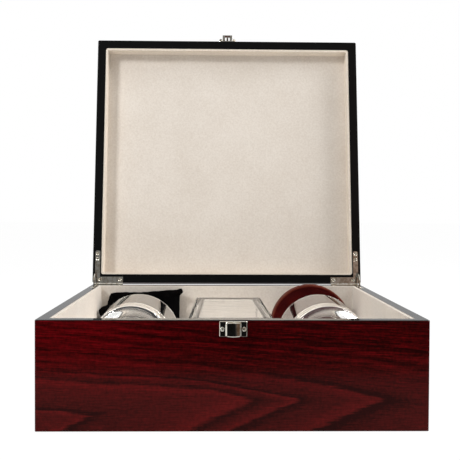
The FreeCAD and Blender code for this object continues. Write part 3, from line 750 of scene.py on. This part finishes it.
def build_decanter(glass, corner_glass_painted_shade):
    """Its corners widen from the foot to the shoulders. Their faces take a dark tinted glass, a
    painted shade for the dark refractions seen in the corners.
    """
    corner, foot_corner, broader = 0.0085, 0.0018, 0.0011
    neck, lip, bore = 0.014, 0.017, 0.010
    neck_at, lip_at, mouth_at = 0.186, 0.191, 0.194
    cavity_top, cavity_top_half = 0.1755, 0.038
    cavity_base, cavity_base_half = 0.014, 0.0335
    bm, unit = square_block(FOOT_HALF, SHOULDER_HALF, 0.0, DECANTER_BODY, corner, 6)
    bm.normal_update()
    # Painted shade: the corner faces get the dark tinted glass.
    for face in bm.faces:
        if min(abs(face.normal.x), abs(face.normal.y)) > 0.12:
            face.material_index = 1
    for vert in bm.verts:
        if vert.co.z < 0.001:
            for axis in (0, 1):
                past = abs(vert.co[axis]) - (FOOT_HALF - corner)
                reach = FOOT_HALF - foot_corner + past * foot_corner / corner
                vert.co[axis] = math.copysign(reach, vert.co[axis])
        else:
            vert.co.x += math.copysign(broader, vert.co.x)
    face = end_face(bm)
    for place in (circle_at(unit, neck, neck_at), circle_at(unit, neck, lip_at),
                  circle_at(unit, lip, lip_at), circle_at(unit, lip, mouth_at),
                  circle_at(unit, bore, mouth_at), circle_at(unit, bore, neck_at),
                  square_at(unit, cavity_top_half, cavity_top),
                  square_at(unit, cavity_base_half, cavity_base)):
        face = pull(bm, face, place)
    bmesh.ops.recalc_face_normals(bm, faces=bm.faces)
    for height, radius, segments in (
            (0.0, 0.0011, 3), (DECANTER_BODY, 0.0025, 4), (cavity_base, 0.004, 4),
            (cavity_top, 0.003, 3), (mouth_at, 0.0008, 3)):
        round_off(bm, level_edges(bm, height), radius, segments)
    lay_down(bm)
    return make_piece("decanter_glass", bm, "decanter", [glass, corner_glass_painted_shade],
                      ["decanter"], sharp=30, weighted=True)


def build_stopper(glass):
    """A square head with a chamfered top. Known fault, kept as it is: end_face ranks a corner strip
    below the lower face here, so the plug is a thin sliver at one corner and not round."""
    half, head_at, top, plug_end = 0.019, 0.1943, 0.2123, 0.182
    bm, unit = square_block(half, half, head_at, top, 0.002, 3)
    face = end_face(bm, top=False)
    face = pull(bm, face, circle_at(unit, 0.0099, head_at))
    pull(bm, face, circle_at(unit, 0.0098, plug_end))
    bmesh.ops.recalc_face_normals(bm, faces=bm.faces)
    round_off(bm, level_edges(bm, top), 0.004, 1)
    round_off(bm, level_edges(bm, plug_end), 0.0012, 3)
    lay_down(bm)
    return make_piece("stopper_glass", bm, "stopper", [glass],
                      ["decanter_stopper"], sharp=25, weighted=True)


# Leather coasters: two faces with a pressed line near the edge, and a paler edge band, a painted
# highlight where the rim catches light

def build_coaster(which, back, face_leather, edge_leather_highlight):
    radius, thick, highlight_from = 49, 8.2, 47.4
    line_from, line_middle, line_to, line_depth = 44.2, 44.6, 45.0, 0.35
    bm = spun_profile([(0, 0), (line_from, 0), (line_middle, line_depth), (line_to, 0), (radius, 0),
                       (radius, thick), (line_to, thick), (line_middle, thick - line_depth),
                       (line_from, thick), (0, thick)], 96)
    rims = ring_edges(bm, radius * MM, 0) + ring_edges(bm, radius * MM, thick * MM)
    round_off(bm, rims, 0.0018, 4)
    # Painted highlight: faces near the rim take the paler edge leather.
    for face in bm.faces:
        middle = face.calc_center_median()
        face.material_index = 1 if math.hypot(middle.x, middle.y) > highlight_from * MM else 0
    place = Matrix.Translation(Vector((TUMBLER_X, back, 56.3)) * MM)
    upright = Matrix.Rotation(math.radians(90), 4, "X")
    bmesh.ops.transform(bm, matrix=place @ upright, verts=bm.verts)
    return make_piece("coaster_disc_" + which, bm, "coaster_" + which, [face_leather, edge_leather_highlight],
                      ["coaster_" + which], sharp=40)


# Velvet pouch: a bag of two sides sewn along its edges, standing in its pocket. Its gathered corner
# is a knot at the right, and two folds of its slack lie at the left.

POUCH_FLOOR, POUCH_BACK, POUCH_LEFT, POUCH_RIGHT, POCKET_FRONT = 7.4, 149.8, -160.6, -61.4, 119.4


def along_line(value, points):
    """The height of a broken line of (value, height) points."""
    for (low, start), (high, end) in zip(points, points[1:]):
        if value <= high:
            return start + (end - start) * max(0.0, value - low) / (high - low)
    return points[-1][1]


def eased(value):
    value = min(1.0, max(0.0, value))
    return value * value * (3 - 2 * value)


def add_lump(bm, centre, half, lean=0.0):
    """A rounded fold of cloth."""
    made = bmesh.ops.create_uvsphere(bm, u_segments=32, v_segments=20, radius=1.0)
    lay = (Matrix.Translation(Vector(centre) * MM) @ Matrix.Rotation(math.radians(lean), 4, "Y")
           @ Matrix.Diagonal((*(Vector(half) * MM), 1.0)))
    for vert in made["verts"]:
        x, y, z = vert.co
        ruck = 1 + 0.05 * math.sin(5 * x + 3 * z) + 0.04 * math.sin(9 * z - 4 * y)
        vert.co = lay @ (vert.co * ruck)


def settled_mesh(piece):
    """Takes a piece's modifiers into its mesh and off the piece."""
    graph = bpy.context.evaluated_depsgraph_get()
    mesh = bpy.data.meshes.new_from_object(piece.evaluated_get(graph))
    materials = list(piece.data.materials)
    piece.modifiers.clear()
    piece.data = mesh
    mesh.materials.clear()
    for material in materials:
        mesh.materials.append(material)


def fill_out(piece, voxel, pressure, cap, keep_in, frames=20):
    """Fills a bag by a short cloth simulation without gravity. No point moves further than cap, and
    keep_in puts each point back that has left its room."""
    remesh = piece.modifiers.new("remesh", "REMESH")
    remesh.mode = "VOXEL"
    remesh.voxel_size = voxel
    settled_mesh(piece)
    before = [vert.co.copy() for vert in piece.data.vertices]
    cloth = piece.modifiers.new("cloth", "CLOTH")
    cloth.settings.use_pressure = True
    cloth.settings.uniform_pressure_force = pressure
    cloth.settings.effector_weights.gravity = 0.0
    cloth.settings.tension_stiffness = cloth.settings.compression_stiffness = 25.0
    cloth.settings.bending_stiffness = 0.4
    cloth.settings.shrink_min = -0.04
    for step in range(1, frames + 1):
        bpy.context.scene.frame_set(step)
    settled_mesh(piece)
    for vert, start in zip(piece.data.vertices, before):
        move = vert.co - start
        vert.co = keep_in(start + move * min(1.0, cap / max(move.length, 1e-9)))
    bpy.context.scene.frame_set(1)
    for polygon in piece.data.polygons:
        polygon.use_smooth = True
    finer = piece.modifiers.new("subdivision", "SUBSURF")
    finer.levels = finer.render_levels = 1


def in_pocket(place):
    """Keeps a point of the pouch clear of the lining behind and beside it, and of the foam."""
    front = POCKET_FRONT if place.z < (INSERT_TOP + 1.5) * MM else 0.0
    return Vector((max(place.x, POUCH_LEFT * MM), min(max(place.y, front * MM), POUCH_BACK * MM),
                   max(place.z, POUCH_FLOOR * MM)))


def build_pouch(velvet_cloth):
    """Starts a little smaller than the real one, because it swells in the simulation."""
    bm = bmesh.new()
    bmesh.ops.create_cube(bm, size=2.0)
    bmesh.ops.subdivide_edges(bm, edges=bm.edges, cuts=47, use_grid_fill=True)
    left_line = [(7, -145.5), (56, -146), (62, -151), (70, -152.5), (88, -147.5), (93, -145.5)]
    for vert in bm.verts:
        across, front, up = vert.co.x, -vert.co.y, (vert.co.z + 1) / 2
        top = 91.2 + 3.4 * (across + 1) / 2 - 1.2 * eased((-across - 0.9) / 0.1)
        z = POUCH_FLOOR + (top - POUCH_FLOOR) * up
        left_edge = along_line(z, left_line)
        x = left_edge + (POUCH_RIGHT - left_edge) * (across + 1) / 2
        seam = (1 - abs(across) ** 4) * (1 - 0.85 * up ** 3)
        thick = 1.6 + 11.0 * max(0.0, seam) * (1 - 0.15 * math.cos(6 * across))
        middle = 134.5 + 6.5 * up
        fold = 1.2 * math.sin(9.0 * across + 4.0 * up) * up
        fold += 0.8 * math.sin(17.0 * across - 7.0 * up + 1.0)
        vert.co = Vector((x, min(middle - front * thick - fold, POUCH_BACK), z)) * MM
    bmesh.ops.recalc_face_normals(bm, faces=bm.faces)
    for _ in range(2):
        bmesh.ops.smooth_vert(bm, verts=bm.verts, factor=0.5, use_axis_x=True, use_axis_y=True,
                              use_axis_z=True)
    add_lump(bm, (-61.0, 139.0, 92.4), (3.8, 3.5, 3.8))
    add_lump(bm, (-151.2, 118.5, 69.5), (7.4, 7.2, 7.0), 12.0)
    add_lump(bm, (-148.5, 126.5, 66.0), (6.5, 7.5, 11.0))
    piece = make_piece("pouch_bag", bm, "pouch", [velvet_cloth], ["pouch"])
    fill_out(piece, voxel=0.0018, pressure=3.0, cap=0.0035, keep_in=in_pocket)
    return piece


# Insert: foam blocks under suede cloth, with soft upper edges

def build_insert_block(node, cloth):
    bm = merged_copy(node)
    upper = [e for e in bm.edges if e.is_manifold and e.calc_face_angle(0) > math.radians(25)
             and min(v.co.z for v in e.verts) > (INSERT_TOP - 0.05) * MM]
    round_off(bm, upper, 0.0022, 4)
    piece = make_piece(node.replace("insert_", "foam_"), bm, "case", [cloth],
                       [node], sharp=50, weighted=True)
    return piece


# Studio

def soft_box(name, place, target, side, power):
    data = bpy.data.lights.new(name, "AREA")
    data.shape = "RECTANGLE"
    data.size = data.size_y = side
    data.energy = power
    lamp = bpy.data.objects.new(name, data)
    bpy.context.scene.collection.objects.link(lamp)
    lamp.location = place
    way = Vector(target) - Vector(place)
    lamp.rotation_euler = way.to_track_quat("-Z", "Y").to_euler()


def white_floor():
    """White paper, just below the baize. In reflections it ends a little way in front of the box,
    as the table's edge does, and beyond it something warm stands at the right."""
    bm = bmesh.new()
    below = Matrix.Translation((0, 0, -0.0001))
    bmesh.ops.create_grid(bm, x_segments=1, y_segments=1, size=12.0, matrix=below)
    mesh = bpy.data.meshes.new("studio_floor")
    bm.to_mesh(mesh)
    bm.free()
    floor = bpy.data.objects.new("studio_floor", mesh)
    bpy.context.scene.collection.objects.link(floor)
    material, tree, shader = new_material("white_paper", Roughness=0.9)
    shader.inputs["Base Color"].default_value = (0.9, 0.9, 0.9, 1.0)
    place = wire(tree, "SeparateXYZ", {"Vector": wire(tree, "TexCoord").outputs["Object"]}).outputs
    seen = wire(tree, "LightPath").outputs
    near = fade(tree, place["Y"], -0.46, -0.38)
    beside = calc(tree, "MULTIPLY", fade(tree, place["X"], 0.05, 0.13),
                  calc(tree, "SUBTRACT", 1.0, near))
    white = calc(tree, "MULTIPLY_ADD", fade(tree, place["X"], -0.2, -0.5), 0.38, 0.70)
    white = calc(tree, "MULTIPLY_ADD", fade(tree, place["X"], 0.2, 0.5), -0.34, white)
    table = calc(tree, "MULTIPLY_ADD", near, white, calc(tree, "MULTIPLY_ADD", beside, 0.15, 0.008))
    warmth = calc(tree, "MULTIPLY", beside, seen["Is Glossy Ray"])
    warmth = blend_colors(tree, warmth, WHITE, (1.0, 0.66, 0.48, 1))
    strength = blend_values(tree, seen["Is Glossy Ray"], 1.035, table)
    glow = wire(tree, "Emission", {"Color": warmth, "Strength": strength})
    direct = calc(tree, "MAXIMUM", seen["Is Camera Ray"], seen["Is Transmission Ray"])
    share = calc(tree, "MAXIMUM", calc(tree, "MULTIPLY", direct, 0.94), seen["Is Glossy Ray"])
    both = wire(tree, "MixShader", {0: share, 1: shader.outputs[0], 2: glow.outputs[0]})
    output = next(n for n in tree.nodes if n.type == "OUTPUT_MATERIAL")
    tree.links.new(both.outputs[0], output.inputs["Surface"])
    mesh.materials.append(material)


def light_studio():
    """Plain white surroundings. Reflections see a dim room on the camera's side."""
    bpy.context.scene.view_settings.view_transform = "Standard"
    world = bpy.data.worlds.new("studio")
    bpy.context.scene.world = world
    world.use_nodes = True
    tree = world.node_tree
    background = tree.nodes["Background"]
    seen = wire(tree, "LightPath").outputs
    way = wire(tree, "SeparateXYZ", {"Vector": wire(tree, "TexCoord").outputs["Generated"]}).outputs
    behind = fade(tree, way["Y"], -0.25, 0.15)
    overhead = fade(tree, way["Z"], 0.60, 0.85)
    warm = fade(tree, way["X"], 0.10, 0.22)
    room = calc(tree, "MULTIPLY_ADD", warm, 0.115, 0.008)
    room = calc(tree, "MULTIPLY_ADD", fade(tree, way["Z"], 0.04, 0.30), 0.27, room)
    window = calc(tree, "MULTIPLY", fade(tree, way["X"], 0.5, 0.7), 0.6)
    window = calc(tree, "MAXIMUM", fade(tree, way["X"], -0.45, -0.62), window)
    bright = calc(tree, "MULTIPLY_ADD", fade(tree, way["Z"], 0.18, 0.5), 0.40, 0.44)
    bright = calc(tree, "MAXIMUM", bright, window)
    around = calc(tree, "MAXIMUM", calc(tree, "MAXIMUM", behind, overhead), window)
    mirrored = blend_values(tree, around, room, bright)
    plain = calc(tree, "MAXIMUM", seen["Is Camera Ray"], seen["Is Transmission Ray"])
    strength = blend_values(tree, seen["Is Glossy Ray"], 0.24, mirrored)
    strength = blend_values(tree, plain, strength, 1.0)
    tree.links.new(strength, background.inputs["Strength"])
    tint = calc(tree, "MULTIPLY", warm, calc(tree, "SUBTRACT", seen["Is Glossy Ray"], plain))
    tint = calc(tree, "MULTIPLY", tint, calc(tree, "SUBTRACT", 1.0, around))
    tint = blend_colors(tree, tint, WHITE, (1.0, 0.66, 0.52, 1))
    tree.links.new(tint, background.inputs["Color"])
    middle = (0, 0.1, 0.2)
    soft_box("key_left", (-1.067, -0.795, 1.175), middle, 0.35, 15.3)
    soft_box("side_right", (1.374, -0.02, 1.357), middle, 1.0, 32.5)


aim_camera()
light_studio()
white_floor()

cream = suede("suede_cream", (0.81, 0.745, 0.67), (0.70, 0.625, 0.545))
# Painted shade: a warmer copy of the cream suede for the lid's lining strips, standing in for the
# warm shade that falls in them.
cream_strips_warm_shade = suede("suede_lid_strips_warm_shade", (0.84, 0.755, 0.65), (0.73, 0.635, 0.53))
cream_insert = suede("suede_insert_cream", (0.80, 0.735, 0.66), (0.69, 0.615, 0.535))
plate = nickel("nickel_plate", (0.70, 0.67, 0.60), 0.05, 0.11)
screw_plate = nickel("nickel_screws", (0.74, 0.73, 0.66), 0.22, 0.34)
# Painted shade: a darker copy of the nickel for the keeper's screws, standing in for the dark
# reflections in their domes.
dark_plate_painted_shade = nickel("nickel_keeper_painted_shade", (0.34, 0.32, 0.28), 0.10, 0.16)
glass = clear_glass("glass_clear")
moulded_glass = clear_glass("glass_moulded", wave=0.00022, fall=0.06)
# Painted shade: dark tinted glass for the decanter's corners, standing in for their dark
# refractions.
corner_glass_painted_shade = clear_glass("glass_corners_painted_shade", wave=0.00022, color=CORNER_PAINTED_SHADE)
pouch_cloth = velvet("velvet_black")
coaster_face = leather("leather_maroon", (0.034, 0.0012, 0.0012), (0.058, 0.0026, 0.0022),
                       900.0, 0.5)
# Painted highlight: the paler edge leather stands in for light caught by the coasters' rims.
coaster_edge_painted_highlight = leather("leather_edge_painted_highlight", (0.085, 0.012, 0.006), (0.14, 0.030, 0.018), 1100.0, 0.45)
board = raw_board("board_plain")
felt = baize("felt_black")

veneers = {
    "case_front": veneer("veneer_case_front", "XZ", 0.0, 0.029, sway=0.12),
    "case_back": veneer("veneer_case_back", "XZ", 3.1, 0.060, inner=("Y", (0.1532, 0.1531))),
    "case_left": veneer("veneer_case_left", "YZ", 5.7, 0.035, inner=("X", (-0.1642, -0.1641))),
    "case_right": veneer("veneer_case_right", "YZ", 8.2, 0.050, inner=("X", (0.1642, 0.1641))),
    "lid_front": veneer("veneer_lid_front", "XZ", 11.0, 0.060, lid=True),
    "lid_back": veneer("veneer_lid_back", "XZ", 13.4, 0.160, lid=True),
    "lid_left": veneer("veneer_lid_left", "YZ", 15.3, 0.150, lid=True),
    "lid_right": veneer("veneer_lid_right", "YZ", 17.9, 0.080, lid=True),
    "lid_top": veneer("veneer_lid_top", "XY", 21.6, 0.020, lid=True),
}


def finish_for(node):
    if node in veneers:
        return veneers[node]
    if node == "case_base":
        return board
    if node == "base_felt":
        return felt
    # The lid's lining strips take the warmer cream, a painted warm shade.
    if node.startswith("lid_lining"):
        return cream_strips_warm_shade
    if "lining" in node or node == "lid_panel":
        return cream
    if "screws" in node:
        return screw_plate
    return plate


for name, node in nodes.items():
    finish = finish_for(name)
    node.data.materials.clear()
    node.data.materials.append(finish)

for side, sign in (("left", -1), ("right", 1)):
    build_tumbler(side, sign, glass)
build_decanter(moulded_glass, corner_glass_painted_shade)
build_stopper(glass)
build_coaster("rear", 123.5, coaster_face, coaster_edge_painted_highlight)
build_coaster("front", 115.0, coaster_face, coaster_edge_painted_highlight)
build_pouch(pouch_cloth)
for name in sorted(nodes):
    if name.startswith("insert_"):
        build_insert_block(name, cream_insert)
build_catch_plate(plate)
build_lever(plate)
build_keeper(plate)
build_all_screws(screw_plate, dark_plate_painted_shade)
